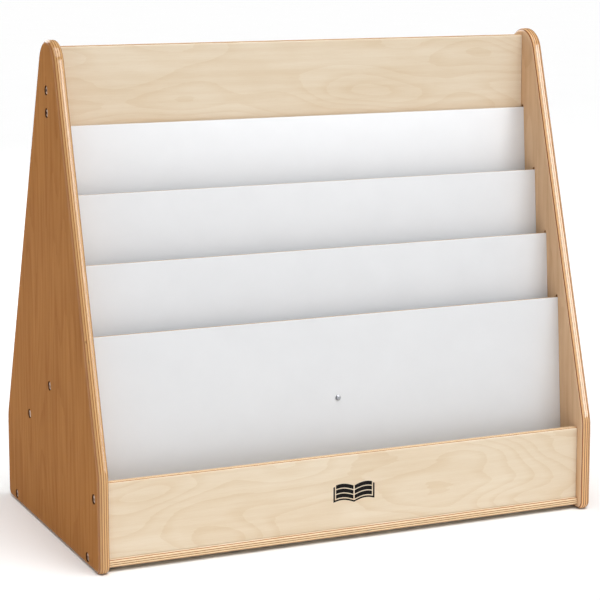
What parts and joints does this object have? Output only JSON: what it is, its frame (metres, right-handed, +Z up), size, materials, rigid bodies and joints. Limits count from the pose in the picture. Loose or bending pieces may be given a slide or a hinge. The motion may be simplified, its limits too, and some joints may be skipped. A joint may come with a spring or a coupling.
{
  "type": "book display stand",
  "caption": "Freestanding plywood book display stand: A-shaped sides carry stepped white panels that form leaning pockets for face-out books, above a front lip and an open base shelf.",
  "frame": {"origin": "centre of the bounding box on the floor", "axes": "+X to the stand's right as seen from its front, +Y from the front to the back, +Z up"},
  "size_m": [0.762, 0.43, 0.7],
  "materials": {
    "side_ply": "clear satin lacquer on honey-brown birch plywood, striped rounded edges",
    "board_ply": "clear satin lacquer on pale birch plywood",
    "white_laminate": "smooth white laminate on fibreboard, tan core at the edges",
    "bronze_bolt": "bronze-plated round head",
    "brass_insert": "plain turned brass",
    "zinc_screw": "zinc-plated"
  },
  "bodies": {
    "root": {"side_panel_left": "side_ply", "side_panel_right": "side_ply", "back_board": "board_ply", "front_lip": "board_ply", "bottom_shelf": "board_ply", "rear_brace": "board_ply", "display_panel_1": "white_laminate", "display_panel_2": "white_laminate", "display_panel_3": "white_laminate", "display_panel_4": "white_laminate", "pocket_floor_1": "board_ply", "pocket_floor_2": "board_ply", "pocket_floor_3": "board_ply", "panel_screw_1": "zinc_screw", "panel_screw_2": "zinc_screw", "panel_screw_3": "zinc_screw", "connector_bolt_left_1": "bronze_bolt", "threaded_insert_left_1": "brass_insert", "connector_bolt_left_2": "bronze_bolt", "threaded_insert_left_2": "brass_insert", "connector_bolt_left_3": "bronze_bolt", "threaded_insert_left_3": "brass_insert", "connector_bolt_left_4": "bronze_bolt", "threaded_insert_left_4": "brass_insert", "connector_bolt_left_5": "bronze_bolt", "threaded_insert_left_5": "brass_insert", "connector_bolt_left_6": "bronze_bolt", "threaded_insert_left_6": "brass_insert", "connector_bolt_left_7": "bronze_bolt", "threaded_insert_left_7": "brass_insert", "connector_bolt_right_1": "bronze_bolt", "threaded_insert_right_1": "brass_insert", "connector_bolt_right_2": "bronze_bolt", "threaded_insert_right_2": "brass_insert", "connector_bolt_right_3": "bronze_bolt", "threaded_insert_right_3": "brass_insert", "connector_bolt_right_4": "bronze_bolt", "threaded_insert_right_4": "brass_insert", "connector_bolt_right_5": "bronze_bolt", "threaded_insert_right_5": "brass_insert", "connector_bolt_right_6": "bronze_bolt", "threaded_insert_right_6": "brass_insert", "connector_bolt_right_7": "bronze_bolt", "threaded_insert_right_7": "brass_insert"}
  },
  "joints": []
}
